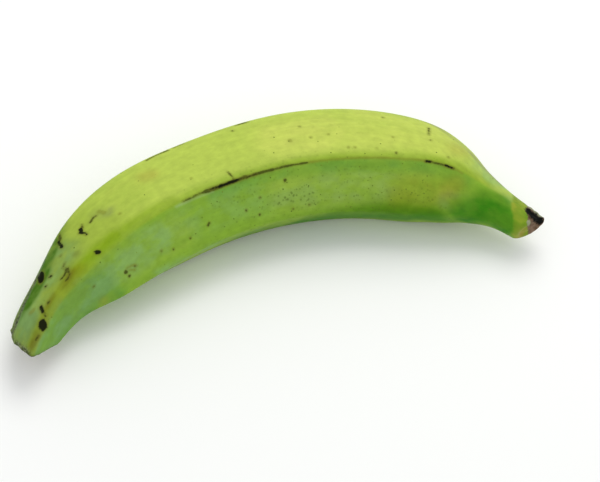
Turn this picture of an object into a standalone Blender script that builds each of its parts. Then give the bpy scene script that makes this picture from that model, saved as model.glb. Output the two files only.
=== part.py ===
"""A green plantain, cut from its hand and lying on its side. Metres, +Z up.

+X runs from the stalk's cut to the blossom end, along the chord of the bend, and
the hollow of the bend faces -Y. The origin is on the surface that the fruit lies
on, under the middle of its box. The fruit grew as one piece, so it is one object.
"""

import bisect
import math

import bmesh
import bpy
from mathutils import Matrix, Vector

MM = 0.001
NAME = "plantain"

# Each table below holds (along, value) pairs. "Along" is in millimetres on the
# centreline, from the stalk's cut to the blossom scar.
LENGTH = 272

# The centreline's heading from +X, in degrees. It turns fastest at the shoulder
# before the blossom end's neck.
BEND = (
    (0, 57), (22, 43), (50, 33), (88, 20), (130, 9), (176, -9), (206, -23.5), (228, -38.5),
    (248, -41), (LENGTH, -51),
)

# How steeply the centreline climbs, in degrees: it arches a little, so both ends droop.
CLIMB = ((0, 9), (45, 5), (80, 1.8), (120, 0.8), (160, -0.3), (200, -2.5), (240, -4), (LENGTH, -5))

# How far the ridges stand from the centreline, in millimetres: the stalk widens into
# the body, and the body narrows through a bottle neck to the blossom end.
GIRTH = (
    (0, 10.9), (20, 14.6), (42, 22.0), (72, 25.6), (112, 25.8), (160, 27.0), (196, 26.3),
    (216, 24.3), (232, 19.1), (245, 12.9), (258, 9.0), (LENGTH, 7.8),
)

# How flat the sides are between the ridges: 0 is round, 1 is flat, above 1 is hollow.
FLATNESS = ((0, 0.8), (30, 0.9), (70, 0.8), (150, 0.6), (210, 0.55), (240, 0.35), (LENGTH, 0.15))

# How much the ridges are rounded: small is a sharp edge. Then how much sooner than
# evenly a side falls away from its ridges towards its middle.
ROUNDING = ((0, 0.30), (40, 0.20), (90, 0.14), (200, 0.16), (230, 0.30), (LENGTH, 0.60))
FALL = 0.35

# Each ridge's angle about the centreline, in degrees from the top towards the
# hollow of the bend, at the stalk, in the body and at the blossom end, its reach
# there as a share of the girth, and how flat the side after it is, as a share.
RIDGES = {
    "upper_inner": ((26, 28, -20), (1.15, 1.00, 1.00), 1.0),
    "inner": ((95, 89, 80), (1.00, 1.04, 1.00), 1.0),
    "lower_inner": ((185, 140, 142), (0.80, 1.00, 1.00), 1.35),
    "lower_outer": ((270, 214, 210), (1.02, 1.00, 1.00), 0.55),
    "upper_outer": ((324, 306, 288), (0.88, 0.98, 1.16), 1.0),
}
BODY = (70, 200)  # where the body's values hold, from the stalk to the shoulder

# The stalk's cut is slanted: its upper edge reaches further out. The blossom end
# is slanted too: its outer edge reaches further out. Both slants die away inwards.
STALK_SLANT, STALK_SLANT_LENGTH = 1.15, 42
BLOSSOM_SLANT, BLOSSOM_SLANT_LENGTH = 0.45, 26

# The end faces, as (share of the outline, millimetres beyond it) from the edge to
# the middle: a dished cut with a worn edge, and a scar with a rim and a stub.
STALK_CUT = ((0.95, 0.6), (0.84, 0.8), (0.60, 0.3), (0.30, 0.0), (0, -0.1))
BLOSSOM_SCAR = ((0.94, 0.9), (0.80, 1.5), (0.64, 1.5), (0.52, 0.7), (0.30, 0.6), (0.20, 1.3), (0, 1.6))

# How the fruit lies: rolled about the chord of its bend, in degrees, so that three
# low spots touch the surface. They are flat, this many millimetres deep.
LEAN = 2.2
FLAT_DEPTH = 0.4

SIDE_POINTS = 9  # mesh points across each side, from one ridge to the next
RING_STEP = 4.2  # millimetres between the mesh's rings
CENTRELINE_STEP = 2.0  # millimetres between the places where the centreline's direction is read

PEEL_GREEN = (0.33, 0.50, 0.10, 1)
PEEL_ROUGHNESS = 0.45


def smooth(table, along):
    """The value at a place along the fruit, on a smooth curve through a table's points."""
    places = [place for place, _ in table]
    values = [value for _, value in table]
    along = min(max(along, places[0]), places[-1])
    after = min(max(bisect.bisect_right(places, along), 1), len(places) - 1)
    before = after - 1

    def slope(i):
        low, high = max(i - 1, 0), min(i + 1, len(places) - 1)
        return (values[high] - values[low]) / (places[high] - places[low])

    span = places[after] - places[before]
    t = (along - places[before]) / span
    rise = values[after] - values[before]
    ease = t * t * (3 - 2 * t)
    return (
        values[before] + rise * ease
        + span * slope(before) * t * (1 - t) ** 2
        - span * slope(after) * t * t * (1 - t)
    )


def along_body(stalk, body, blossom, along):
    """A value that is given at the stalk, in the body and at the blossom end."""
    return smooth(((0, stalk), (BODY[0], body), (BODY[1], body), (LENGTH, blossom)), along)


def directions(along):
    """The unit vectors that point along the centreline, into the hollow of the bend, and up."""
    heading = math.radians(smooth(BEND, along))
    climb = math.radians(smooth(CLIMB, along))
    level = Vector((math.cos(heading), math.sin(heading), 0))
    forward = level * math.cos(climb) + Vector((0, 0, math.sin(climb)))
    inward = Vector((math.sin(heading), -math.cos(heading), 0))
    return forward, inward, inward.cross(forward)


def centreline(along):
    """The centreline's point, in millimetres, found by following its direction from the cut."""
    point = Vector((0, 0, 0))
    steps = max(1, math.ceil(along / CENTRELINE_STEP))
    for i in range(steps):
        point += directions((i + 0.5) * along / steps)[0] * along / steps
    return point


def ridges_at(along):
    """(angle, reach, flatness of the side after it) of each ridge here, in order round the fruit."""
    girth, flatness = smooth(GIRTH, along), smooth(FLATNESS, along)
    return [
        (math.radians(along_body(*angles, along)), girth * along_body(*reaches, along), flatness * share)
        for angles, reaches, share in RIDGES.values()
    ]


def side_point(start, end, share, rounding):
    """(angle, radius) of a point between two ridges, a share of the way across."""
    (angle, reach, flatness), (next_angle, next_reach, _) = start, end
    span = (next_angle - angle) % math.tau
    ease = share * share * (3 - 2 * share)
    # This rises from 0 at a ridge to 1 in the middle of the side, with a rounded foot.
    across = math.hypot(math.sin(math.pi * share), rounding)
    across = (across - rounding) / (math.hypot(1, rounding) - rounding)
    across += FALL * across * (1 - across)
    sink = flatness * (1 - math.cos(span / 2)) * across
    return angle + share * span, (reach + (next_reach - reach) * ease) * (1 - sink)


def slants(along):
    """How far a ring leans along the fruit, per millimetre of height and of depth into the bend."""
    stalk = max(0, 1 - along / STALK_SLANT_LENGTH)
    blossom = max(0, 1 - (LENGTH - along) / BLOSSOM_SLANT_LENGTH)
    return -STALK_SLANT * stalk * stalk, -BLOSSOM_SLANT * blossom * blossom


def ring(along, share=1.0, beyond=0.0):
    """The outline at a place along the fruit, at a share of its size and moved out past its end."""
    forward, inward, up = directions(along)
    centre = centreline(along) + forward * (beyond if along > LENGTH / 2 else -beyond)
    by_height, by_depth = slants(along)
    rounding = smooth(ROUNDING, along)
    corners = ridges_at(along)
    points = []
    for start, end in zip(corners, corners[1:] + corners[:1]):
        for i in range(SIDE_POINTS):
            angle, radius = side_point(start, end, i / SIDE_POINTS, rounding)
            height = math.cos(angle) * radius * share
            depth = math.sin(angle) * radius * share
            lean = by_height * height + by_depth * depth
            points.append(centre + up * height + inward * depth + forward * lean)
    return points


def rings():
    """Every ring of the skin, from the inmost one of the cut to the inmost one of the scar."""
    count = round(LENGTH / RING_STEP)
    cut = [ring(0, share, beyond) for share, beyond in reversed(STALK_CUT) if share]
    side = [ring(LENGTH * i / count) for i in range(count + 1)]
    scar = [ring(LENGTH, share, beyond) for share, beyond in BLOSSOM_SCAR if share]
    return cut + side + scar


def middles():
    """The middle points of the cut and of the scar."""
    return ring(0, *STALK_CUT[-1])[0], ring(LENGTH, *BLOSSOM_SCAR[-1])[0]


def fruit_mesh():
    """The whole skin as one closed mesh: a loft through the rings, closed by a fan at each end."""
    mesh = bmesh.new()
    loops = [[mesh.verts.new(point * MM) for point in points] for points in rings()]
    for near, far in zip(loops, loops[1:]):
        for i, vertex in enumerate(near):
            before = i - 1
            mesh.faces.new((near[before], far[before], far[i], vertex))
    for loop, middle in zip((loops[0], loops[-1][::-1]), middles()):
        hub = mesh.verts.new(middle * MM)
        for i, vertex in enumerate(loop):
            mesh.faces.new((hub, loop[i - 1], vertex))
    bmesh.ops.recalc_face_normals(mesh, faces=mesh.faces)
    return mesh


def lay_down(mesh):
    """Turns the fruit as it rests, flattens its low spots and centres it over the origin."""
    # The chord of the bend comes to lie along +X first.
    chord = centreline(LENGTH)
    turn = Matrix.Rotation(-math.atan2(chord.y, chord.x), 3, "Z")
    turn = Matrix.Rotation(math.radians(LEAN), 3, "X") @ turn
    bmesh.ops.rotate(mesh, cent=(0, 0, 0), matrix=turn, verts=mesh.verts)
    drop = min(v.co.z for v in mesh.verts) + FLAT_DEPTH * MM
    bmesh.ops.translate(mesh, vec=(0, 0, -drop), verts=mesh.verts)
    bmesh.ops.bisect_plane(
        mesh,
        geom=mesh.verts[:] + mesh.edges[:] + mesh.faces[:],
        dist=0.001 * MM,
        plane_co=(0, 0, 0),
        plane_no=(0, 0, 1),
        clear_inner=True,
    )
    bmesh.ops.holes_fill(mesh, edges=[edge for edge in mesh.edges if edge.is_boundary])
    middle = [
        (min(v.co[axis] for v in mesh.verts) + max(v.co[axis] for v in mesh.verts)) / 2
        for axis in (0, 1)
    ]
    bmesh.ops.translate(mesh, vec=(-middle[0], -middle[1], 0), verts=mesh.verts)


def peel_material():
    """Waxy green peel."""
    material = bpy.data.materials.new("green peel")
    material.use_nodes = True
    shader = material.node_tree.nodes["Principled BSDF"]
    shader.inputs["Base Color"].default_value = PEEL_GREEN
    shader.inputs["Roughness"].default_value = PEEL_ROUGHNESS
    shader.inputs["Metallic"].default_value = 0
    return material


def build():
    for old in list(bpy.data.objects):
        bpy.data.objects.remove(old)
    collection = bpy.data.collections.new(NAME)
    bpy.context.scene.collection.children.link(collection)
    fruit = bpy.data.objects.new(NAME, bpy.data.meshes.new(NAME))
    collection.objects.link(fruit)
    mesh = fruit_mesh()
    lay_down(mesh)
    mesh.to_mesh(fruit.data)
    mesh.free()
    fruit.data.materials.append(peel_material())
    fruit.data.shade_smooth()
    return fruit


build()
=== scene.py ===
"""The looks of a green plantain, cut from its hand and lying on its side. Metres, +Z up."""

import math

import bpy
import numpy as np
from mathutils import Matrix, Vector


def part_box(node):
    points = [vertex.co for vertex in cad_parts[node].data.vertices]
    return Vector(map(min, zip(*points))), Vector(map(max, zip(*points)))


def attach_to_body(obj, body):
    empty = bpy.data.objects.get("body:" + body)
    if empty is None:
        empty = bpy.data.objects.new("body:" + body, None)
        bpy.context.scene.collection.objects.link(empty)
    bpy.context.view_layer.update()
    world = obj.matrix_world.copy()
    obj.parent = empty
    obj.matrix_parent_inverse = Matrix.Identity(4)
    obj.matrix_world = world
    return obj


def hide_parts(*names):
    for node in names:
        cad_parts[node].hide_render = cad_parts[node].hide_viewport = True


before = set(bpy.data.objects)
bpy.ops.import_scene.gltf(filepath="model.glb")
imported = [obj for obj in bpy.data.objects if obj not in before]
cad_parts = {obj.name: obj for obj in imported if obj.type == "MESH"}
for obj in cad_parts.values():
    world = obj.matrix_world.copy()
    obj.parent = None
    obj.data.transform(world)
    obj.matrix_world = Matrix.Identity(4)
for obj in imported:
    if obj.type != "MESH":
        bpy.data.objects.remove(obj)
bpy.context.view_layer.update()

MM = 0.001
SEED = 11

# The form, the same as the solid's. Each table holds (along, value) pairs. "Along" is
# in millimetres on the centreline, from the stalk's cut to the blossom scar.
LENGTH = 272
BEND = (
    (0, 57), (22, 43), (50, 33), (88, 20), (130, 9), (176, -9), (206, -23.5), (228, -38.5),
    (248, -41), (LENGTH, -51),
)
CLIMB = ((0, 9), (45, 5), (80, 1.8), (120, 0.8), (160, -0.3), (200, -2.5), (240, -4), (LENGTH, -5))
GIRTH = (
    (0, 10.9), (20, 14.6), (42, 22.0), (72, 25.6), (112, 25.8), (160, 27.0), (196, 26.3),
    (216, 24.3), (232, 19.1), (245, 12.9), (258, 9.0), (LENGTH, 7.8),
)
FLATNESS = ((0, 0.8), (30, 0.9), (70, 0.8), (150, 0.6), (210, 0.55), (240, 0.35), (LENGTH, 0.15))
ROUNDING = ((0, 0.30), (40, 0.20), (90, 0.14), (200, 0.16), (230, 0.30), (LENGTH, 0.60))
FALL = 0.35

# Each ridge's angle about the centreline at the stalk, in the body and at the blossom
# end, its reach there as a share of the girth, and how flat the side after it is.
RIDGES = {
    "upper_inner": ((26, 28, -20), (1.15, 1.00, 1.00), 1.0),
    "inner": ((95, 89, 80), (1.00, 1.04, 1.00), 1.0),
    "lower_inner": ((185, 140, 142), (0.80, 1.00, 1.00), 1.35),
    "lower_outer": ((270, 214, 210), (1.02, 1.00, 1.00), 0.55),
    "upper_outer": ((324, 306, 288), (0.88, 0.98, 1.16), 1.0),
}
BODY = (70, 200)
STALK_SLANT, STALK_SLANT_LENGTH = 1.15, 42
BLOSSOM_SLANT, BLOSSOM_SLANT_LENGTH = 0.45, 26

# The end faces, as (share of the outline, millimetres beyond it) from the middle out.
STALK_CUT = ((0, -0.1), (0.30, 0.0), (0.60, 0.3), (0.84, 0.8), (0.95, 0.6), (1, 0))
BLOSSOM_SCAR = (
    (0, 1.6), (0.20, 1.3), (0.30, 0.6), (0.52, 0.7), (0.64, 1.5), (0.80, 1.5), (0.94, 0.9), (1, 0),
)
LEAN = 2.2
FLAT_DEPTH = 0.4

# How fine the skin's mesh is: points across each side, millimetres between its rings,
# rings on each end face, and millimetres between the centreline's points.
SIDE_POINTS = 46
RING_STEP = 0.82
CAP_RINGS = 16
CENTRELINE_STEP = 0.5

# Small forms, in millimetres. A dent is (middle, radius, depth), its middle as (height
# above the centreline, depth into the bend, along). The waves are sums of sines of
# these shares of their size, drawn out along the fruit.
DENTS = (
    ((6.6, -4.6, 271.0), 2.6, 1.0),
    ((5.2, -4.9, 274.6), 2.6, 1.2),
    ((2.6, -3.6, 274.6), 2.2, 0.5),
)
WAVE_SIZE, WAVE_RISE = 26, 0.10
WAVE_STRETCH = (1, 1, 0.5)
ROUGH_SIZE, ROUGH_RISE = 2.4, 0.22
WAVES = 14
WAVE_SHARES = (0.7, 1.6)


def smooth(table, along):
    """The values on a smooth curve through a table's points, at every place given."""
    places, values = np.array(table, float).T
    slope = np.gradient(values, places)
    slope[1:-1] = (values[2:] - values[:-2]) / (places[2:] - places[:-2])
    along = np.clip(along, places[0], places[-1])
    after = np.clip(np.searchsorted(places, along, "right"), 1, len(places) - 1)
    before = after - 1
    span = places[after] - places[before]
    t = (along - places[before]) / span
    ease = t * t * (3 - 2 * t)
    rise = values[after] - values[before]
    bow = slope[before] * t * (1 - t) ** 2 - slope[after] * t * t * (1 - t)
    return values[before] + rise * ease + span * bow


def along_body(values, along):
    """A value that is given at the stalk, in the body and at the blossom end."""
    stalk, body, blossom = values
    return smooth(((0, stalk), (BODY[0], body), (BODY[1], body), (LENGTH, blossom)), along)


def directions(along):
    """The unit vectors along the centreline, into the hollow of the bend, and up."""
    heading, climb = np.radians(smooth(BEND, along)), np.radians(smooth(CLIMB, along))
    flat = np.cos(climb)
    forward = np.stack([np.cos(heading) * flat, np.sin(heading) * flat, np.sin(climb)], -1)
    inward = np.stack([np.sin(heading), -np.cos(heading), np.zeros_like(heading)], -1)
    return forward, inward, np.cross(inward, forward)


def centreline(along):
    """The centreline's points, in millimetres."""
    middles = np.arange(0, LENGTH, CENTRELINE_STEP) + CENTRELINE_STEP / 2
    path = np.cumsum(directions(middles)[0] * CENTRELINE_STEP, 0)
    path = np.vstack([np.zeros(3), path])
    places = np.arange(len(path)) * CENTRELINE_STEP
    return np.stack([np.interp(along, places, axis) for axis in path.T], -1)


def outline(along):
    """The angle and the reach in millimetres of every point round the fruit, ring by ring."""
    girth, flatness = smooth(GIRTH, along), smooth(FLATNESS, along)
    rounding = smooth(ROUNDING, along)[:, None]
    corners = [
        (np.radians(along_body(angles, along)), girth * along_body(reaches, along), flatness * share)
        for angles, reaches, share in RIDGES.values()
    ]
    share = np.arange(SIDE_POINTS)[None] / SIDE_POINTS
    ease = share * share * (3 - 2 * share)
    across = np.hypot(np.sin(np.pi * share), rounding)
    across = (across - rounding) / (np.hypot(1, rounding) - rounding)
    across += FALL * across * (1 - across)
    angles, reaches = [], []
    for start, end in zip(corners, corners[1:] + corners[:1]):
        angle, reach, flat = (value[:, None] for value in start)
        span = (end[0][:, None] - angle) % math.tau
        sink = flat * (1 - np.cos(span / 2)) * across
        angles.append(angle + share * span)
        reaches.append((reach + (end[1][:, None] - reach) * ease) * (1 - sink))
    return np.concatenate(angles, 1), np.concatenate(reaches, 1)


def slants(along):
    """How far a ring leans along the fruit, per millimetre of height and of depth into the bend."""
    stalk = np.maximum(0, 1 - along / STALK_SLANT_LENGTH)
    blossom = np.maximum(0, 1 - (LENGTH - along) / BLOSSOM_SLANT_LENGTH)
    return -STALK_SLANT * stalk * stalk, -BLOSSOM_SLANT * blossom * blossom


def round_lengths(points):
    """Each point's distance from the main ridge, measured round its own ring, in millimetres.

    It is positive towards the hollow of the bend and negative over the top.
    """
    steps = np.linalg.norm(np.roll(points, -1, 1) - points, axis=-1)
    there = np.cumsum(steps, 1) - steps
    whole = steps.sum(1)[:, None]
    return np.where(there < whole / 2, there, there - whole), whole[:, 0]


def skin():
    """Every point of the skin, ring by ring, with its place on the fruit."""
    count = round(LENGTH / RING_STEP)
    shares = (np.arange(CAP_RINGS) + 0.5) / CAP_RINGS
    sides = np.linspace(0, LENGTH, count + 1)
    along = np.concatenate([np.zeros(CAP_RINGS), sides, np.full(CAP_RINGS, LENGTH)])
    share = np.concatenate([shares, np.ones(count + 1), shares[::-1]])
    cut, scar = -smooth(STALK_CUT, shares), smooth(BLOSSOM_SCAR, shares[::-1])
    beyond = np.concatenate([cut, np.zeros(count + 1), scar])
    forward, inward, up = directions(along)
    angle, reach = outline(along)
    reach = reach * share[:, None]
    by_height, by_depth = slants(along)
    height, depth = np.cos(angle) * reach, np.sin(angle) * reach
    lean = by_height[:, None] * height + by_depth[:, None] * depth + beyond[:, None]
    points = (
        centreline(along)[:, None]
        + up[:, None] * height[..., None]
        + inward[:, None] * depth[..., None]
        + forward[:, None] * lean[..., None]
    )
    return {
        "points": points,
        "along": along,
        "share": share,
        "height": height,
        "depth": depth,
        "lean": lean,
    }


def laid_down(points, skin_points):
    """Skin points in metres, turned and placed as the solid lies, which the plain points show."""
    chord = centreline(np.array([LENGTH]))[0]
    turn = Matrix.Rotation(-math.atan2(chord[1], chord[0]), 3, "Z")
    turn = np.array(Matrix.Rotation(math.radians(LEAN), 3, "X") @ turn).T * MM
    plain = (points @ turn).reshape(-1, 3)
    low, high = plain.min(0), plain.max(0)
    solid_low, solid_high = (np.array(corner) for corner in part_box("plantain"))
    move = (solid_low + solid_high) / 2 - (low + high) / 2
    move[2] = -low[2] - FLAT_DEPTH * MM
    placed = skin_points @ turn + move
    placed[..., 2] = np.maximum(placed[..., 2], 0)
    return placed


def outward(points):
    """The skin's unit normals, from the rings on both sides and the points on both sides."""
    onward = np.gradient(points, axis=0)
    round_it = np.roll(points, -1, 1) - np.roll(points, 1, 1)
    normal = np.cross(onward, round_it)
    return -normal / np.maximum(np.linalg.norm(normal, axis=-1, keepdims=True), 1e-9)


def waves(places, size, seed):
    """Smooth random heights of about -1 to 1, with humps of about this size in millimetres."""
    draw = np.random.default_rng(seed)
    total = np.zeros(places.shape[:-1])
    for _ in range(WAVES):
        direction = draw.normal(size=3)
        direction *= math.tau / (2 * size) / np.linalg.norm(direction) * draw.uniform(*WAVE_SHARES)
        total += np.sin(places @ direction + draw.uniform(0, math.tau))
    return total / math.sqrt(WAVES)


def small_forms(straight, rough):
    """How far the skin stands out from its plain form, in millimetres."""
    rise = WAVE_RISE * waves(straight * WAVE_STRETCH, WAVE_SIZE, SEED)
    rise += ROUGH_RISE * rough * waves(straight, ROUGH_SIZE, SEED + 1)
    for middle, radius, depth in DENTS:
        away = np.linalg.norm(straight - np.array(middle), axis=-1)
        rise -= depth * np.exp(-((away / radius) ** 2))
    return rise


def attach(mesh, name, values, kind="FLOAT"):
    """Stores values on the mesh's vertices, under a name that its material reads."""
    made = mesh.attributes.new(name, kind, "POINT")
    key = "vector" if kind == "FLOAT_VECTOR" else "value"
    made.data.foreach_set(key, np.ravel(values).astype(np.float32))


def unrolled(rings, around):
    """The UV place of every corner: u runs along the fruit and v round it, from the main ridge."""
    row, column = np.meshgrid(np.arange(rings - 1) + 1, np.arange(around), indexing="ij")
    u = [np.stack([row, row, row + 1, row + 1], -1)]
    v = [np.stack([column, column + 1, column + 1, column], -1)]
    turn = np.arange(around)
    for hub, edge, first, second in ((0, 1, 1, 0), (rings + 1, rings, 0, 1)):
        u.append(np.repeat([[hub, edge, edge]], around, 0))
        v.append(np.stack([turn + 0.5, turn + first, turn + second], -1))
    u = np.concatenate([part.ravel() for part in u]) / (rings + 1)
    v = np.concatenate([part.ravel() for part in v]) / around
    return np.stack([u, v], -1).astype(np.float32)


def linked(name, data):
    """A new object in the scene that holds the data given."""
    made = bpy.data.objects.new(name, data)
    bpy.context.scene.collection.objects.link(made)
    return made


def closed_rings(name, points, hubs):
    """A mesh object from rings of points, closed by a fan to a hub at each end."""
    rings, around = points.shape[:2]
    places = np.concatenate([points.reshape(-1, 3), hubs])
    ring = np.arange(rings * around).reshape(rings, around)
    near, far = ring[:-1], ring[1:]
    sides = np.stack([np.roll(near, 1, 1), near, far, np.roll(far, 1, 1)], -1).reshape(-1, 4)
    first, last = len(places) - 2, len(places) - 1
    fans = [(first, int(a), int(b)) for a, b in zip(ring[0], np.roll(ring[0], 1))]
    fans += [(last, int(b), int(a)) for a, b in zip(ring[-1], np.roll(ring[-1], 1))]
    mesh = bpy.data.meshes.new(name)
    mesh.from_pydata(places.tolist(), [], sides.tolist() + fans)
    mesh.uv_layers.new(name="OFBake").data.foreach_set("uv", unrolled(rings, around).ravel())
    mesh.shade_smooth()
    return linked(name, mesh)


# Marks and tints are strokes on the skin. A stroke's points are (along, across) in
# millimetres: across is measured round the fruit from its main ridge, positive on the
# side that faces the hollow of the bend and negative over the top.

# Scars of the peel, as (half width, points): dead skin, tan where it is thin and black
# where it is thickest.
MARKS = {
    "tan": (
        (0.35, ((155, 0.0), (186, 0.0), (215, 0.1))),
        (0.30, ((229, 0.2), (232, 0.4), (234, 0.8))),
        (0.85, ((149.4, -13.9),)),
        (0.60, ((175.9, -5.9),)),
        (0.70, ((179.0, -5.8),)),
        (0.50, ((189.8, -4.9),)),
        (0.50, ((197.6, -12.9),)),
        (0.50, ((225.0, -5.2),)),
        (0.45, ((98.6, -9.5),)),
        (0.45, ((167.7, -14.7),)),
        (0.90, ((57.1, -20.6), (58.0, -18.4))),
        (0.60, ((62.0, -12.0),)),
        (0.60, ((12.6, -9.8), (11.4, -10.6))),
        (0.45, ((48.6, 13.0), (51.8, 14.0), (53.5, 15.2))),
        (0.40, ((49.4, 14.8), (51.6, 16.4))),
    ),
    "brown": (
        (0.30, ((88, 0.4), (95, 0.4))),
        (0.45, ((94, 0.3), (100, 0.3))),
        (0.82, ((101, 0.3), (106, 0.5), (118, 0.4), (122, 0.3))),
        (0.58, ((121, 0.3), (136, 0.2))),
        (0.42, ((135, 0.2), (146, 0.0))),
        (0.30, ((146, 0.0), (154, 0.0))),
        (0.40, ((215, 0.2), (227, 0.2), (229.5, 0.3))),
        (0.36, ((115.1, -4.9), (115.5, -3.0), (115.9, -0.8))),
        (0.32, ((48.2, -21.0), (47.2, -19.6))),
        (0.34, ((51.0, -18.9), (53.5, -19.9), (55.0, -19.6))),
        (0.40, ((40.0, -26.0), (38.0, -23.0))),
        (0.45, ((33.0, -16.6),)),
        (0.60, ((23.1, -16.6), (22.0, -15.6))),
        (0.80, ((17.2, -5.0),)),
        (0.55, ((6.2, -1.1), (5.4, -1.3))),
        (0.34, ((31.5, -12.0), (30.1, -11.0), (29.6, -8.3), (27.6, -7.3), (26.2, -7.4))),
        (0.30, ((30.5, -9.0), (28.8, -5.4), (26.6, -4.6))),
        (0.85, ((47.2, 14.4),)),
        (0.70, ((47.7, 17.3),)),
        (0.45, ((31.6, 8.4),)),
        (0.45, ((52.6, 15.0),)),
        (0.55, ((68.3, 16.5),)),
        (0.45, ((74.7, 19.0),)),
        (0.45, ((85.4, 18.3),)),
        (0.50, ((96.5, 16.1), (97.6, 15.2))),
        (0.60, ((118.2, 15.8),)),
        (0.55, ((126.6, 11.7),)),
        (0.55, ((124.8, 19.9),)),
        (0.75, ((141.2, 6.5),)),
        (0.45, ((143.9, 21.3),)),
        (0.45, ((153.5, 20.8),)),
        (0.45, ((128.4, -30.3),)),
        (0.45, ((159.3, -13.9),)),
        (0.40, ((156.2, -22.5),)),
        (0.40, ((193.6, -28.3),)),
        (0.50, ((199.6, -2.8),)),
        (0.36, ((88.7, -32.6), (94.0, -33.4), (99.5, -33.0))),
        (0.32, ((102.0, -33.6), (106.8, -33.8))),
        (0.42, ((131.3, -34.4), (136.4, -34.6))),
        (0.40, ((213.0, -25.0), (213.5, -18.3))),
        (0.35, ((214.8, -14.3),)),
    ),
    "black": (
        (0.50, ((103, 0.2), (107, 0.4), (112, 0.4), (118, 0.3))),
        (0.30, ((118, 0.3), (127, 0.3))),
        (0.50, ((215.4, 0.2), (217.8, 0.2))),
        (0.62, ((225.6, 0.2), (228.4, 0.2))),
        (0.80, ((46.3, -19.5), (45.7, -18.4))),
        (0.55, ((44.8, -18.4), (45.7, -16.4), (45.7, -15.0))),
        (0.60, ((37.0, -22.6), (36.0, -19.4))),
        (1.15, ((41.6, -3.0), (41.5, -3.6))),
        (1.30, ((23.9, -18.0), (23.2, -16.6))),
        (1.00, ((22.2, -15.4), (23.1, -16.8))),
        (0.75, ((25.0, -13.1),)),
        (0.50, ((21.4, -11.5),)),
        (0.75, ((14.6, -7.1), (13.9, -4.6))),
        (0.35, ((13.8, -4.4), (13.2, -2.2))),
        (1.60, ((10.5, -2.3), (9.8, -0.8))),
        (0.40, ((6.0, -1.2),)),
    ),
}

# Scars on the sides that the photograph doesn't show, strewn by a rule: how many, where
# they start, how long they are on average, how much they slant, and their half width.
HIDDEN_SCARS = 46
HIDDEN_ALONG = (20, 250)
HIDDEN_ACROSS = (32, 118)
HIDDEN_RUN, HIDDEN_SLANT = 2.0, 0.3
HIDDEN_WIDTH = (0.25, 0.6)

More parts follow.
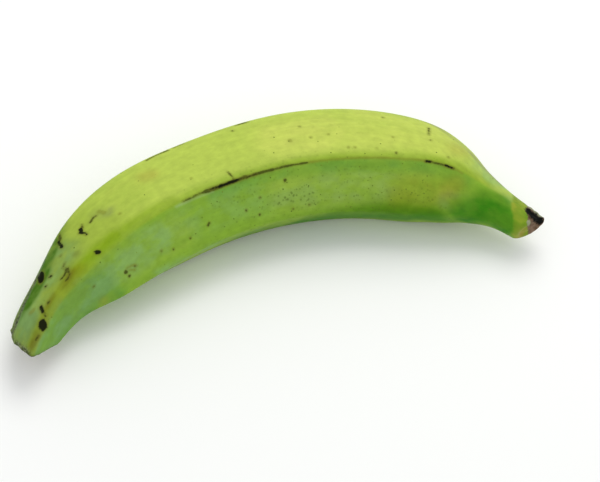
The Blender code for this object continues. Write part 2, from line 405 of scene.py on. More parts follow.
# Soft changes of the green, as (half width, fade, strength, points).
TINTS = {
    # Painted shade: the top darkens towards the stalk end, where less light falls.
    "dim": (
        (7.0, 9.0, 0.62, ((28, -10), (48, -13))),
        (4.0, 9.0, 0.20, ((56, -16), (66, -18))),
    ),
    "yellow": (
        (6.0, 7.0, 0.62, ((146, -16), (166, -17))),
        (6.0, 7.0, 0.40, ((166, -17), (190, -16), (218, -15))),
        (3.0, 5.0, 0.40, ((185, -27), (212, -24))),
    ),
    "fair": (
        (5.0, 5.0, 0.60, ((140, 14), (190, 15), (224, 12))),
        (5.0, 5.0, 0.30, ((55, 13), (80, 14))),
    ),
    "leaf": (
        (7.0, 3.0, 0.85, ((4, 9), (20, 10), (30, 11))),
        (3.0, 4.0, 0.75, ((8, 16), (22, 18), (36, 21))),
        (1.0, 3.0, 0.55, ((104, 2.0), (150, 2.5), (190, 3.0), (236, 3.0))),
    ),
    "lime": (
        (1.4, 3.2, 1.0, ((30, -3.0), (42, -3.4), (52, -3.0))),
        (0.8, 3.2, 0.75, ((52, -2.5), (66, -2.0), (84, -1.2))),
        (0.6, 2.2, 0.60, ((84, -1.0), (120, -0.8), (170, -0.8), (205, -0.8))),
        (0.6, 3.0, 0.60, ((205, -0.8), (226, -1.0), (246, -2.0))),
    ),
    # Painted shade: the stalk end, top and front, darker where less light falls.
    "dull": (
        (6.0, 6.0, 0.95, ((-8, -8), (4, -9))),
        (3.5, 6.0, 0.60, ((12, -11), (22, -13), (32, -17))),
        (3.0, 8.0, 0.25, ((6, 8), (30, 10))),
    ),
    "olive": (
        (1.6, 2.4, 1.0, ((2, -1.0), (9, -0.8), (16, -2.2), (24, -3.2), (31, -3.6))),
        (1.2, 3.0, 0.45, ((18, -7), (30, -9))),
    ),
    # The peel's pale blue-green wax bloom, with painted highlights.
    "waxy": (
        (4.0, 5.0, 0.55, ((2, 7), (20, 7), (45, 10), (70, 11))),
        (4.0, 5.0, 0.30, ((70, 11), (112, 11), (160, 14), (196, 13))),
        # A painted highlight along the lower edge of the side in front.
        (1.2, 3.0, 0.60, ((62, 27), (80, 29), (124, 34))),
        (2.0, 3.0, 0.45, ((233, 15), (240, 13))),
        (2.0, 3.0, 0.50, ((238, -9), (252, -6), (259, -4))),
        (2.0, 4.0, 0.40, ((8, -11), (20, -12), (34, -16))),
    ),
    # A painted highlight: a pale line just below the main ridge.
    "rim": (
        (0.1, 0.6, 0.35, ((84, 1.2), (104, 1.5))),
    ),
    # Painted shade along the lower edge of the side in front, with a painted green reflection.
    "moss": (
        (1.0, 9.0, 0.75, ((120, 40), (146, 39), (166, 37))),
        (5.5, 5.5, 0.95, ((156, 37.5), (168, 36), (198, 31.5), (212, 30))),
        (3.5, 4.0, 1.0, ((200, 31), (214, 29), (229, 27))),
    ),
    # Painted shade on the underside by the lower edge and on the lower half of the neck.
    "deep": (
        (3.0, 5.0, 0.60, ((152, 41), (172, 38.5), (190, 37.5), (212, 35))),
        (2.0, 4.0, 0.60, ((218, 33), (229, 29), (236, 26), (242, 22))),
        (4.5, 5.0, 0.96, ((244, 18), (249, 13), (255, 10.5), (261, 11), (265, 12))),
        (2.0, 4.0, 0.65, ((248, 7), (256, 3.5))),
    ),
    "bronze": (
        (3.0, 5.0, 0.45, ((205, 16), (222, 15), (232, 11))),
    ),
    "orange": (
        (0.8, 3.0, 0.35, ((82.4, -22.9), (85, -22.3))),
        (1.0, 4.0, 0.30, ((227.5, -13.9),)),
        (1.0, 3.0, 0.25, ((230.8, 11.4), (233.9, 5.5))),
        (0.6, 2.0, 0.25, ((31.3, 18.5),)),
    ),
    "rust": (
        (0.6, 1.5, 0.60, ((25.0, -3.8), (29.5, -5.6))),
        (0.4, 1.2, 0.40, ((16.0, -4.2), (20.0, -5.2))),
        (0.6, 1.2, 0.60, ((6.5, -2.0), (3.0, -2.0))),
        (0.6, 1.4, 0.35, ((36.5, -11.0),)),
    ),
    "strip": (
        (2.8, 1.5, 0.65, ((3, -19.0), (10, -17.2), (14, -16.8))),
        (3.4, 1.2, 1.0, ((14, -16.5), (17.7, -16.5), (23.5, -18.2), (30, -22.6), (34, -25.2))),
        (1.0, 3.0, 0.9, ((33, -25.0), (42, -30.0))),
        (2.0, 6.0, 0.85, ((-4, -25), (20, -24), (32, -29))),
    ),
    "cork": (
        (2.0, 0.9, 1.0, ((-2, -18.8), (8, -18.6), (14, -19.0), (22, -20.8))),
        (0.6, 0.9, 0.9, ((0, -42), (0, -2))),
        (0.3, 0.4, 0.6, ((0, -2), (0, 42))),
    ),
    "grey": (
        (0.8, 2.4, 0.45, ((55.8, -20), (59.3, -17))),
        (0.8, 1.2, 0.45, ((201, -39), (211, -33.5), (218, -28.5), (228, -21), (240, -13.5), (252, -10))),
    ),
}

# These tints are on the top alone: they fade out over the last millimetre before this
# place across.
TOP_TINTS = ("lime", "olive", "rust")
TOP_END = 0.9

# Planes that slant across the blossom end, as (along at the centreline, and how many
# millimetres further for each of height and of depth): the green fades into a yellow
# ring at the first, and the scar starts at the second.
RING_PLANE = (265.1, -0.42, 0.52)
SCAR_PLANE = (273.1, -0.39, 0.63)

# Spots of the blossom end, as (middle, radius), with middles as the dents' are.
END_SPOTS = {
    "hollow": (
        ((7.1, -3.9, 269.4), 3.1),
        ((6.9, -3.8, 271.4), 3.8),
        ((6.1, -4.0, 273.4), 4.0),
        ((5.0, -4.6, 275.0), 3.7),
        ((2.8, -5.2, 275.9), 2.8),
    ),
    # Pale grey patches: partly pale tissue, partly a painted highlight along the scar's upper outer
    # edge.
    "cream": (
        ((5.0, -7.7, 266.8), 2.0),
        ((4.2, -8.2, 269.2), 2.2),
        ((4.6, -7.8, 271.4), 2.2),
        ((4.2, -8.2, 273.8), 2.0),
        ((6.6, 2.2, 272.0), 1.9),
        ((3.6, -0.2, 273.6), 1.7),
    ),
    "dried": (
        ((1.6, 3.0, 270.6), 3.0),
        ((-3.0, 2.5, 271.0), 3.4),
    ),
}

# How yellow and how light each side is, by the ridge before it: 0 is leafy and darker, 1 is
# sunny and lighter. This is partly the peel's own yellowing and partly painted light on the
# top with painted shade on the sides below. Over a ridge the one turns into the other within
# about this many millimetres.
SIDE_SUN_AND_TOP_LIGHT = {
    "upper_inner": 0.0,
    "inner": 0.2,
    "lower_inner": 0.35,
    "lower_outer": 0.6,
    "upper_outer": 1.0,
}
RIDGE_BLUR = 0.6

# Where the freckles are: most on the side in front, as (middle, half width), and this
# share of that elsewhere. None are near the ends, this close to a scar, or this low,
# where the skin rests on something. The places are in millimetres.
FRECKLED_ACROSS, FRECKLED_ALONG = (15, 16), (170, 75)
FRECKLED_ELSEWHERE = 0.10
FRECKLED_FROM, FRECKLED_TO = 12, 258
FRECKLE_CLEARANCE = 0.8
RESTING = 0.3

FAR = 9.0  # millimetres from a mark, further than any mark's halo reaches


def stroke_distance(along, across, points):
    """Every skin point's distance to a stroke's line, in millimetres."""
    line = np.array(points, float)
    if len(line) == 1:
        line = np.repeat(line, 2, 0)
    place = np.stack([along, across], -1)
    nearest = np.full(along.shape, np.inf)
    for start, end in zip(line, line[1:]):
        run = end - start
        share = np.clip((place - start) @ run / max(run @ run, 1e-9), 0, 1)
        away = np.linalg.norm(place - start - share[..., None] * run, axis=-1)
        nearest = np.minimum(nearest, away)
    return nearest


def mark_field(along, across, marks):
    """The distance to the nearest mark's edge, negative inside it."""
    field = np.full(along.shape, FAR)
    for half_width, points in marks:
        field = np.minimum(field, stroke_distance(along, across, points) - half_width)
    return field


def tint_field(along, across, strokes):
    """How strong a tint is, from 0 to 1."""
    field = np.zeros(along.shape)
    for half_width, fade, strength, points in strokes:
        beyond = np.maximum(stroke_distance(along, across, points) - half_width, 0)
        field = np.maximum(field, strength * np.exp(-((beyond / fade) ** 2)))
    return field


def past_plane(straight, plane):
    """How many millimetres further along than a slanting plane every point lies."""
    start, by_height, by_depth = plane
    return straight[..., 2] - start - by_height * straight[..., 0] - by_depth * straight[..., 1]


def spot_field(straight, spots):
    """How near every point is to the nearest spot's middle: 1 there, 0 far away."""
    field = np.zeros(straight.shape[:-1])
    for middle, radius in spots:
        away = np.linalg.norm(straight - np.array(middle), axis=-1)
        field = np.maximum(field, np.exp(-((away / radius) ** 2)))
    return field


def hidden_scars():
    """Short scars along the fruit on its back and underside, in a seeded random order."""
    draw = np.random.default_rng(SEED)
    scars = []
    for _ in range(HIDDEN_SCARS):
        along = draw.uniform(*HIDDEN_ALONG)
        across = draw.uniform(*HIDDEN_ACROSS)
        run = draw.exponential(HIDDEN_RUN)
        end = (along + run, across + run * draw.normal(0, HIDDEN_SLANT))
        scars.append((draw.uniform(*HIDDEN_WIDTH), ((along, across), end)))
    return scars


def sun_and_top_light_by_side(points):
    """How yellow and how light the peel is at every point, blended over each ridge: partly its own
    yellowing, partly painted light on top and painted shade below.
    """
    steps = np.linalg.norm(np.roll(points, -1, 1) - points, axis=-1)
    there = np.cumsum(steps, 1) - steps
    whole = steps.sum(1)[:, None]
    sun = np.zeros(there.shape)
    tones = list(SIDE_SUN_AND_TOP_LIGHT.values())
    for side, tone in enumerate(tones):
        own = slice(side * SIDE_POINTS, (side + 1) * SIDE_POINTS)
        start = there[:, side * SIDE_POINTS][:, None]
        is_last = side + 1 == len(tones)
        end = whole if is_last else there[:, (side + 1) * SIDE_POINTS][:, None]
        from_start, to_end = there[:, own] - start, end - there[:, own]
        before, after = tones[side - 1], tones[(side + 1) % len(tones)]
        sun[:, own] = (
            tone
            + (before - tone) / 2 * np.exp(-from_start / RIDGE_BLUR)
            + (after - tone) / 2 * np.exp(-to_end / RIDGE_BLUR)
        )
    return sun


def freckled_field(along, across, on_end, points, fields):
    """How many freckles there are at every point, as a share of the most."""
    (middle, width), (centre, length) = FRECKLED_ACROSS, FRECKLED_ALONG
    front = np.exp(-(((across - middle) / width) ** 2) - ((along - centre) / length) ** 4)
    share = FRECKLED_ELSEWHERE + (1 - FRECKLED_ELSEWHERE) * front
    sound = np.minimum(fields["black"], fields["brown"]) > FRECKLE_CLEARANCE
    inside = (along > FRECKLED_FROM) & (along < FRECKLED_TO) & ~on_end
    return share * sound * inside * (points[..., 2] > RESTING * MM)


def make_peel():
    """The fruit's skin, with the fields that its material reads stored on its points."""
    place = skin()
    plain = place["points"]
    across, whole = round_lengths(plain)
    on_end = place["share"][:, None] < 1
    along = np.broadcast_to(place["along"][:, None], across.shape)
    # The hidden scars are placed by their distance one way round from the main ridge.
    one_way = np.where(across < 0, across + whole[:, None], across)
    straight = np.stack([place["height"], place["depth"], along + place["lean"]], -1)

    fields = {name: mark_field(along, across, marks) for name, marks in MARKS.items()}
    hidden = mark_field(along, one_way, hidden_scars())
    fields["brown"] = np.minimum(fields["brown"], hidden)
    fields = {name: np.where(on_end, FAR, field) for name, field in fields.items()}
    fields["share"] = place["share"][:, None]
    fields["sun"] = sun_and_top_light_by_side(plain)
    for name, strokes in TINTS.items():
        fields[name] = tint_field(along, across, strokes)
    for name in TOP_TINTS:
        fields[name] *= np.clip(TOP_END - across, 0, 1)
    fields["cut"] = np.where((along == 0) & on_end, 1.0, 0.0)
    fields["ring"] = past_plane(straight, RING_PLANE)
    fields["scar"] = past_plane(straight, SCAR_PLANE)
    for name, spots in END_SPOTS.items():
        fields[name] = spot_field(straight, spots)

    rough = np.clip(fields["cork"] + fields["cut"] + (fields["scar"] > 0), 0, 1)
    points = plain + outward(plain) * small_forms(straight, rough)[..., None]
    points = laid_down(plain, points)
    fields["freckled"] = freckled_field(along, across, on_end, points, fields)
    peel = closed_rings("peel", points, np.stack([points[0].mean(0), points[-1].mean(0)]))
    ends = np.stack([straight[0].mean(0), straight[-1].mean(0)])
    attach(peel.data, "straight", np.concatenate([straight.reshape(-1, 3), ends]), "FLOAT_VECTOR")
    for name, values in fields.items():
        values = np.broadcast_to(values, across.shape)
        hubs = [values[0].mean(), values[-1].mean()]
        attach(peel.data, name, np.concatenate([values.ravel(), hubs]))
    return peel


def linear(hex_colour):
    """An sRGB hex colour as linear red, green, blue and alpha."""
    parts = [int(hex_colour[i : i + 2], 16) / 255 for i in (1, 3, 5)]
    return (*(c / 12.92 if c <= 0.04045 else ((c + 0.055) / 1.055) ** 2.4 for c in parts), 1)


def add(tree, kind, inputs=(), result=None, **settings):
    """Adds a node with its settings, and links a socket or sets a value on each input given.

    The inputs are by name or number, or a row for the first ones, and a hex colour is
    set as linear. It returns the node, or the output whose name or number is asked for.
    """
    made = tree.nodes.new(kind)
    for name, value in settings.items():
        setattr(made, name, value)
    for key, value in inputs.items() if isinstance(inputs, dict) else enumerate(inputs):
        if isinstance(value, bpy.types.NodeSocket):
            tree.links.new(value, made.inputs[key])
        elif isinstance(value, str) and value.startswith("#"):
            made.inputs[key].default_value = linear(value)
        else:
            made.inputs[key].default_value = value
    return made if result is None else made.outputs[result]


# The peel's colours, and how much each tint is broken up into streaks along the fruit.
# The top's green is partly painted light from above, and the side's green partly painted shade.
YELLOW_GREEN = "#A9BC4A"
LEAF_GREEN = "#7EA42C"
TINT_COLOURS = {
    # Painted shade towards the stalk.
    "dim": ("#869E2C", 0.2),
    "yellow": ("#C0C85C", 0.3),
    "fair": ("#94AC3C", 0.5),
    "leaf": ("#5A9030", 0.5),
    "lime": ("#7C9A08", 0.2),
    # Painted shade at the stalk end.
    "dull": ("#627C3A", 0.3),
    "olive": ("#7C8C08", 0.3),
    # Wax bloom, with painted highlights.
    "waxy": ("#80A866", 0.8),
    # A painted highlight below the main ridge.
    "rim": ("#A4BC8A", 0.3),
    # Painted shade and green reflection along the lower edge.
    "moss": ("#4E7C00", 0.2),
    # Painted shade underneath and on the neck.
    "deep": ("#2E7600", 0.2),
    "bronze": ("#7C8808", 0.3),
    "orange": ("#9C8430", 0.2),
    "rust": ("#5C5406", 0.6),
    "strip": ("#40680A", 0.5),
    "grey": ("#6A6A54", 0.7),
}

# Each mark's colour, where it starts outside its edge and is full inside it, in
# millimetres, and how strong it is. A brownish halo lies round them all.
MARK_LOOKS = {
    "tan": ("#787C26", 0.45, -0.35, 0.45),
    "brown": ("#3A3E0E", 0.38, -0.30, 0.85),
    "black": ("#0A0D02", 0.30, -0.34, 0.97),
}
HALO_BROWN, HALO_WIDTH, HALO_STRENGTH = "#6A6C1C", 1.2, 0.42
SPECK, SPECK_STRENGTH = "#4A5E12", 0.58
RING_GREEN, RING_YELLOW = "#6A8C1A", "#98A030"
CORK_LIGHT, CORK_DARK = "#70735A", "#23281A"
CUT_TAN, CUT_BROWN, CUT_RIM = "#A2946A", "#6A5C3C", "#3A3624"
SCAR_MAUVE, SCAR_BROWN, SCAR_TAN = "#846E5A", "#5E4A38", "#9A9238"
# The scar's pale grey is partly pale tissue and partly a painted highlight.
SCAR_CREAM_AND_HIGHLIGHT, CREAM_AND_HIGHLIGHT_STRENGTH = "#94997A", 0.9
HOLLOW_BLACK = "#070A05"

# Patterns that follow the fruit: how many millimetres wide their humps are, how finely
# they are broken up, and how many times longer than wide they are, along the fruit. Real
# fibres and cork grains are about 0.1 to 0.3 mm wide, too fine to show in the render, so
# both are drawn coarser.
PATTERNS = {
    "fibres": (0.6, 3, 28),
    "streaks": (2.6, 3, 7),
    "clouds": (11, 3, 2),
    "blotches": (3.4, 4, 1.7),
    "mottle": (1.5, 3, 1.3),
    "tears": (1.0, 3, 2.2),
    "grain": (0.45, 3, 1),
}

# What the patterns are used for, as (pattern, low, high, value at low, value at high).
USES = {
    "sun drift": ("clouds", 0.3, 0.7, -0.2, 0.2),
    "sun streaks": ("streaks", 0.3, 0.7, -0.12, 0.12),
    "tint gaps": ("blotches", 0.40, 0.60, 1, 0),
    "ring yellow": ("blotches", 0.42, 0.72, 0, 1),
    "ring edge": ("blotches", 0.3, 0.7, -1, 1),
    "fibre shade": ("fibres", 0.25, 0.75, 0.975, 1.025),
    "mottle shade": ("mottle", 0.28, 0.72, 0.91, 1.08),
    "streak shade": ("streaks", 0.3, 0.7, 0.96, 1.04),
    "pore size": ("streaks", 0.3, 0.7, -0.12, 0.16),
    "pore cover": ("blotches", 0.32, 0.62, 0.35, 1),
    "mark tears": ("tears", 0.3, 0.7, -0.25, 0.25),
    "mark grain": ("grain", 0.3, 0.7, -0.14, 0.14),
    "flecks": ("grain", 0.42, 0.58, 0, 1),
    "cork cover": ("mottle", 0.35, 0.6, 0.35, 1),
    "scar tone": ("mottle", 0.38, 0.62, 0, 1),
    "scar edge": ("mottle", 0.25, 0.75, -0.6, 0.6),
    "cream edge": ("grain", 0.25, 0.75, -0.12, 0.12),
    "hollow edge": ("grain", 0.25, 0.75, -0.14, 0.14),
    "fibre height": ("fibres", 0, 1, 0, 0.25),
}

# Where each patch starts and where it is full, on its own field. The pores are about
# this many millimetres apart.
RING_EDGE, SCAR_EDGE = (-1, 1.2), (-0.4, 0.4)
CREAM_AND_HIGHLIGHT_EDGE, HOLLOW_EDGE = (0.25, 0.65), (0.32, 0.70)
CUT_RIM_EDGE = (0.80, 0.97)
PORE_EDGE, PORE_SPACING = (0.36, 0.05), 2.0

# A thin coat of plant wax gives a soft, satin sheen, and worn skin is dull. The height
# of worn skin is a share of the bumps' distance, which is in metres.
SKIN_IOR = 1.40
PEEL_ROUGHNESS, WORN_ROUGHNESS, PEEL_SPECULAR = 0.48, 0.9, 0.15
WORN_HEIGHT, BUMP_DISTANCE = 0.5, 0.0002

FIELD, MATH = "ShaderNodeAttribute", "ShaderNodeMath"
MIX, RANGE = "ShaderNodeMix", "ShaderNodeMapRange"
IN_COLOUR = {"data_type": "RGBA"}
SOFTLY = {"interpolation_type": "SMOOTHSTEP"}


def empty_material(name):
    """A new material and its tree, without any nodes."""
    material = bpy.data.materials.new(name)
    material.use_nodes = True
    material.node_tree.nodes.clear()
    return material, material.node_tree


def patterned(tree, straight, patterns):
    """Noise patterns by name, laid out on the straightened fruit."""
    made = {}
    for name, (width, detail, length) in patterns.items():
        place = {"Vector": straight, "Scale": (1, 1, 1 / length)}
        drawn_out = add(tree, "ShaderNodeMapping", place, 0)
        # A hump is about half as wide as one unit of the noise.
        noise = {"Vector": drawn_out, "Scale": 0.5 / width, "Detail": detail}
        made[name] = add(tree, "ShaderNodeTexNoise", noise, "Fac")
    return made


def frayed(tree, field, fray, outer, inner, strength=1.0):
    """How strongly a patch shows, with a soft edge that a pattern frays."""
    torn = add(tree, MATH, (field, fray), 0, operation="ADD")
    return add(tree, RANGE, (torn, outer, inner, 0, strength), 0, **SOFTLY)


def finish(tree, colour, roughness, specular, height=None):
    """Ends a material's tree with its shader, and with fine bumps where it has some."""
    inputs = {
        "Base Color": colour,
        "Roughness": roughness,
        "IOR": SKIN_IOR,
        "Specular IOR Level": specular,
    }
    if height is not None:
        bumps = {"Height": height, "Strength": 1.0, "Distance": BUMP_DISTANCE}
        inputs["Normal"] = add(tree, "ShaderNodeBump", bumps, 0)
    shader = add(tree, "ShaderNodeBsdfPrincipled", inputs, 0)
    add(tree, "ShaderNodeOutputMaterial", {"Surface": shader})


def peel_material():
    """Unripe plantain peel, grown and lightly waxed: a soft sheen over fibres along the fruit."""
    material, tree = empty_material("waxy green plantain peel")
    straight = add(tree, FIELD, (), "Vector", attribute_name="straight")
    pattern = patterned(tree, straight, PATTERNS)
    use = {name: add(tree, RANGE, (pattern[kind], *span), 0) for name, (kind, *span) in USES.items()}
    names = ("share", "sun", "cut", "ring", "scar", "freckled", *MARKS, *TINTS, *END_SPOTS)
    field = {name: add(tree, FIELD, (), "Fac", attribute_name=name) for name in names}

    # The green: yellower and lighter on top, leafier and darker on the side that faced the bunch,
    # and tinted. The lighter top and darker side are partly the peel's own colour and partly
    # painted light and shade.
    sun = add(tree, MATH, (field["sun"], use["sun drift"]), 0, operation="ADD")
    sun = add(tree, MATH, (sun, use["sun streaks"]), 0, operation="ADD")
    colour = add(tree, MIX, {0: sun, 6: LEAF_GREEN, 7: YELLOW_GREEN}, 2, **IN_COLOUR)
    for name, (tint, broken) in TINT_COLOURS.items():
        gap = add(tree, MATH, (use["tint gaps"], broken), 0, operation="MULTIPLY")
        kept = add(tree, MATH, (1.0, gap), 0, operation="SUBTRACT")
        strength = add(tree, MATH, (field[name], kept), 0, operation="MULTIPLY")
        colour = add(tree, MIX, {0: strength, 6: colour, 7: tint}, 2, **IN_COLOUR)

    # The ring before the blossom scar: it yellows in blotches, and is tan where it dried.
    yellowing = {0: use["ring yellow"], 6: RING_GREEN, 7: RING_YELLOW}
    ring = add(tree, MIX, yellowing, 2, **IN_COLOUR)
    ring = add(tree, MIX, {0: field["dried"], 6: ring, 7: SCAR_TAN}, 2, **IN_COLOUR)
    ringed = frayed(tree, field["ring"], use["ring edge"], *RING_EDGE)
    colour = add(tree, MIX, {0: ringed, 6: colour, 7: ring}, 2, **IN_COLOUR)

    # Fibres, streaks and mottling make it lighter and darker by a few per cent.
    shade = add(tree, MATH, (use["fibre shade"], use["mottle shade"]), 0, operation="MULTIPLY")
    shade = add(tree, MATH, (shade, use["streak shade"]), 0, operation="MULTIPLY")
    shaded = {0: 1.0, 6: colour, 7: shade}
    colour = add(tree, MIX, shaded, 2, blend_type="MULTIPLY", **IN_COLOUR)

    # Pores too flat to be freckles: faint dark specks of many sizes.
    spaced = {"Vector": straight, "Scale": 1 / PORE_SPACING}
    pores = add(tree, "ShaderNodeTexVoronoi", spaced, "Distance")
    speck = frayed(tree, pores, use["pore size"], *PORE_EDGE, SPECK_STRENGTH)
    for cover in (use["pore cover"], field["freckled"]):
        speck = add(tree, MATH, (speck, cover), 0, operation="MULTIPLY")
    colour = add(tree, MIX, {0: speck, 6: colour, 7: SPECK}, 2, **IN_COLOUR)

    # Dead skin: a brownish halo, then the marks with ragged edges, each darker than the last.
    tears = add(tree, MATH, (use["mark tears"], use["mark grain"]), 0, operation="ADD")
    worn = 0.0
    for name, (tint, outer, inner, strength) in MARK_LOOKS.items():
        fading = (field[name], HALO_WIDTH, 0, 0, HALO_STRENGTH * strength)
        halo = add(tree, RANGE, fading, 0, **SOFTLY)
        mark = frayed(tree, field[name], tears, outer, inner, strength)
        colour = add(tree, MIX, {0: halo, 6: colour, 7: HALO_BROWN}, 2, **IN_COLOUR)
        colour = add(tree, MIX, {0: mark, 6: colour, 7: tint}, 2, **IN_COLOUR)
        worn = add(tree, MATH, (worn, mark), 0, operation="MAXIMUM")

    # Cork along the torn edge and round the cut: grey-brown flecks.
    cork = add(tree, MIX, {0: use["flecks"], 6: CORK_DARK, 7: CORK_LIGHT}, 2, **IN_COLOUR)
    corky = add(tree, MATH, (field["cork"], use["cork cover"]), 0, operation="MULTIPLY")
    colour = add(tree, MIX, {0: corky, 6: colour, 7: cork}, 2, **IN_COLOUR)

    # The stalk's cut: dried fibre ends in a dark rim.
    rim = add(tree, RANGE, (field["share"], *CUT_RIM_EDGE, 0, 1), 0, **SOFTLY)
    cut = add(tree, MIX, {0: use["flecks"], 6: CUT_BROWN, 7: CUT_TAN}, 2, **IN_COLOUR)
    cut = add(tree, MIX, {0: rim, 6: cut, 7: CUT_RIM}, 2, **IN_COLOUR)
    colour = add(tree, MIX, {0: field["cut"], 6: colour, 7: cut}, 2, **IN_COLOUR)

    # The blossom scar: withered mauve-brown tissue with pale grey patches, partly pale tissue and
    # partly a painted highlight along its upper outer edge, and a black hollow.
    scar = add(tree, MIX, {0: use["scar tone"], 6: SCAR_BROWN, 7: SCAR_MAUVE}, 2, **IN_COLOUR)
    cream = frayed(tree, field["cream"], use["cream edge"], *CREAM_AND_HIGHLIGHT_EDGE, CREAM_AND_HIGHLIGHT_STRENGTH)
    scar = add(tree, MIX, {0: cream, 6: scar, 7: SCAR_CREAM_AND_HIGHLIGHT}, 2, **IN_COLOUR)
    scarred = frayed(tree, field["scar"], use["scar edge"], *SCAR_EDGE)
    colour = add(tree, MIX, {0: scarred, 6: colour, 7: scar}, 2, **IN_COLOUR)
    hollow = frayed(tree, field["hollow"], use["hollow edge"], *HOLLOW_EDGE)
    colour = add(tree, MIX, {0: hollow, 6: colour, 7: HOLLOW_BLACK}, 2, **IN_COLOUR)

    # Worn skin is dull and stands out a little, and the fibres are fine ribs.
    for cover in (corky, scarred):
        worn = add(tree, MATH, (worn, cover), 0, operation="MAXIMUM")
    roughness = add(tree, RANGE, (worn, 0, 1, PEEL_ROUGHNESS, WORN_ROUGHNESS), 0)
    raised = (worn, WORN_HEIGHT, use["fibre height"])
    height = add(tree, MATH, raised, 0, operation="MULTIPLY_ADD")
    finish(tree, colour, roughness, PEEL_SPECULAR, height)
    return material


# Freckles: corky pores, each a low dome, as many as this on a square metre at most. The
# gap between them and their radii are in metres, and the rise is a share of the radius.
FRECKLES_PER_AREA = 42000
FRECKLE_GAP = 0.0013
FRECKLE_SIZE = (0.00014, 0.00040)
FRECKLE_RISE = 0.18
FRECKLE_DARK, FRECKLE_OLIVE = "#566C1C", "#768C2A"
FRECKLE_PATTERNS = {"tone": (3, 2, 1)}
FRECKLE_TONES = (0.4, 0.6)
FRECKLE_ROUGHNESS, FRECKLE_SPECULAR = 0.8, 0.25


def freckle_material():
    """Cork that grows over a pore: dull, olive brown."""
    material, tree = empty_material("corky pores")
    straight = add(tree, FIELD, (), "Vector", attribute_name="straight")
    pattern = patterned(tree, straight, FRECKLE_PATTERNS)
    tone = add(tree, RANGE, (pattern["tone"], *FRECKLE_TONES, 0, 1), 0)
    colour = add(tree, MIX, {0: tone, 6: FRECKLE_DARK, 7: FRECKLE_OLIVE}, 2, **IN_COLOUR)
    finish(tree, colour, FRECKLE_ROUGHNESS, FRECKLE_SPECULAR)
    return material


def tree_input(tree, name, kind, value):
    """Adds a named input with its default to a geometry tree and returns its identifier."""
    socket = tree.interface.new_socket(name, in_out="INPUT", socket_type=kind)
    if value is not None:
        socket.default_value = value
    return socket.identifier


def freckle_tree(material):
    """Domes on the skin, more of them where it is freckled, each of its own size."""
    tree = bpy.data.node_groups.new("freckles", "GeometryNodeTree")
    tree_input(tree, "Skin", "NodeSocketGeometry", None)
    inputs = {
        "Gap": tree_input(tree, "Gap", "NodeSocketFloat", FRECKLE_GAP),
        "Density": tree_input(tree, "Density", "NodeSocketFloat", FRECKLES_PER_AREA),
        "Smallest": tree_input(tree, "Smallest", "NodeSocketFloat", FRECKLE_SIZE[0]),
        "Largest": tree_input(tree, "Largest", "NodeSocketFloat", FRECKLE_SIZE[1]),
        "Seed": tree_input(tree, "Seed", "NodeSocketInt", SEED),
    }
    tree.interface.new_socket("Freckles", in_out="OUTPUT", socket_type="NodeSocketGeometry")
    given = add(tree, "NodeGroupInput").outputs
    named = {"Name": "freckled"}
    where = add(tree, "GeometryNodeInputNamedAttribute", named, 0, data_type="FLOAT")
    strewn = {
        "Mesh": given["Skin"],
        "Distance Min": given["Gap"],
        "Density Max": given["Density"],
        "Density Factor": where,
        "Seed": given["Seed"],
    }
    kind = "GeometryNodeDistributePointsOnFaces"
    spots = add(tree, kind, strewn, distribute_method="POISSON").outputs
    span = {2: given["Smallest"], 3: given["Largest"], "Seed": given["Seed"]}
    size = add(tree, "FunctionNodeRandomValue", span, 1, data_type="FLOAT")
    scale = add(tree, "ShaderNodeCombineXYZ", (size, size, size), 0)
    ball = add(tree, "GeometryNodeMeshIcoSphere", {"Radius": 1.0, "Subdivisions": 1}, 0)
    pressed = {"Geometry": ball, "Scale": (1, 1, FRECKLE_RISE)}
    dome = add(tree, "GeometryNodeTransform", pressed, 0)
    placed = {
        "Points": spots["Points"],
        "Instance": dome,
        "Rotation": spots["Rotation"],
        "Scale": scale,
    }
    domes = add(tree, "GeometryNodeInstanceOnPoints", placed, 0)
    real = add(tree, "GeometryNodeRealizeInstances", (domes,), 0)
    coated = add(tree, "GeometryNodeSetMaterial", {"Geometry": real, "Material": material}, 0)
    add(tree, "NodeGroupOutput", (coated,))
    return tree, inputs


def grown_on(skin_object, name, tree, settings):
    """What a geometry tree grows on the skin, as a plain mesh object of its own."""
    carrier = linked(name + "_carrier", skin_object.data)
    modifier = carrier.modifiers.new(name, "NODES")
    modifier.node_group = tree
    for identifier, value in settings.items():
        modifier[identifier] = value
    graph = bpy.context.evaluated_depsgraph_get()
    mesh = bpy.data.meshes.new_from_object(carrier.evaluated_get(graph))
    carrier.modifiers.remove(modifier)
    bpy.data.objects.remove(carrier)
    mesh.name = name
    mesh.shade_smooth()
    return linked(name, mesh)


peel = make_peel()
peel.data.materials.append(peel_material())
freckles_tree, freckle_inputs = freckle_tree(freckle_material())
freckles = grown_on(peel, "freckles", freckles_tree, {freckle_inputs["Seed"]: SEED})
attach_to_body(freckles, "root")
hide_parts("plantain")
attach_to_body(peel, "root")

# The camera looks down on the fruit from the hollow side, a little rolled. It aims this
# high above the origin, and its place is then moved this far right and up in the picture.
AZIMUTH, ELEVATION, DISTANCE, ROLL = -24.6, 53.0, 0.776, 8.3
LENS = 100
AIM_HEIGHT, AIM_RIGHT, AIM_UP = 0.02, 0.0158, -0.0086

# A pale floor, an evenly bright sky and a soft lamp, as in a light tent.
FLOOR_SIDE = 6
FLOOR_COLOUR, FLOOR_ROUGHNESS = "#F4F4F2", 0.9
SKY_COLOUR, SKY_STRENGTH = "#F6F8FA", 0.92
LAMP_PLACE, LAMP_SIDE = (0.22, 0.35, 0.80), 0.6
LAMP_POWER, LAMP_COLOUR = 3.0, "#FFFDF8"


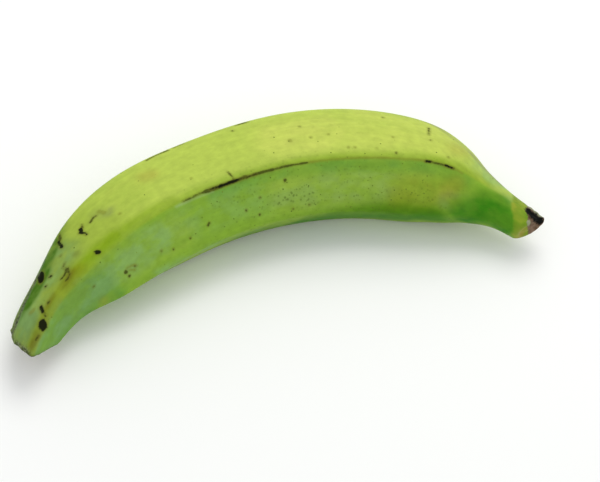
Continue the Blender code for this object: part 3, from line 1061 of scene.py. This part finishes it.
def make_camera():
    """The camera, turned towards the middle of the fruit and rolled about its line of sight."""
    azimuth, elevation = math.radians(AZIMUTH), math.radians(ELEVATION)
    level = math.cos(elevation)
    back = Vector((math.sin(azimuth) * level, -math.cos(azimuth) * level, math.sin(elevation)))
    right = (-back).cross(Vector((0, 0, 1))).normalized()
    up = right.cross(-back)
    eye = Vector((0, 0, AIM_HEIGHT)) + right * AIM_RIGHT + up * AIM_UP + back * DISTANCE
    roll = math.radians(ROLL)
    across = right * math.cos(roll) + up * math.sin(roll)
    upward = up * math.cos(roll) - right * math.sin(roll)
    data = bpy.data.cameras.new("camera")
    data.lens = LENS
    camera = linked("camera", data)
    turn = Matrix((across, upward, back)).transposed().to_4x4()
    camera.matrix_world = Matrix.Translation(eye) @ turn
    bpy.context.scene.camera = camera


def make_floor():
    """A plain pale floor, wide enough to fill every view."""
    mesh = bpy.data.meshes.new("floor")
    half = FLOOR_SIDE / 2
    corners = [(-half, -half, 0), (half, -half, 0), (half, half, 0), (-half, half, 0)]
    mesh.from_pydata(corners, [], [(0, 1, 2, 3)])
    material = bpy.data.materials.new("matt white floor")
    material.use_nodes = True
    shader = material.node_tree.nodes["Principled BSDF"]
    shader.inputs["Base Color"].default_value = linear(FLOOR_COLOUR)
    shader.inputs["Roughness"].default_value = FLOOR_ROUGHNESS
    mesh.materials.append(material)
    floor = linked("floor", mesh)


def make_lamp():
    """A square soft lamp above and behind, facing the origin."""
    data = bpy.data.lights.new("softbox above and behind", "AREA")
    data.shape = "SQUARE"
    data.size = LAMP_SIDE
    data.energy = LAMP_POWER
    data.color = linear(LAMP_COLOUR)[:3]
    lamp = linked("softbox above and behind", data)
    lamp.location = LAMP_PLACE
    lamp.rotation_euler = (-Vector(LAMP_PLACE)).to_track_quat("-Z", "Y").to_euler()


def make_world():
    """An evenly bright sky all round."""
    world = bpy.data.worlds.new("studio")
    world.use_nodes = True
    background = world.node_tree.nodes["Background"]
    background.inputs["Color"].default_value = linear(SKY_COLOUR)
    background.inputs["Strength"].default_value = SKY_STRENGTH
    bpy.context.scene.world = world


make_camera()
make_floor()
make_world()
make_lamp()
bpy.context.scene.view_settings.view_transform = "Standard"
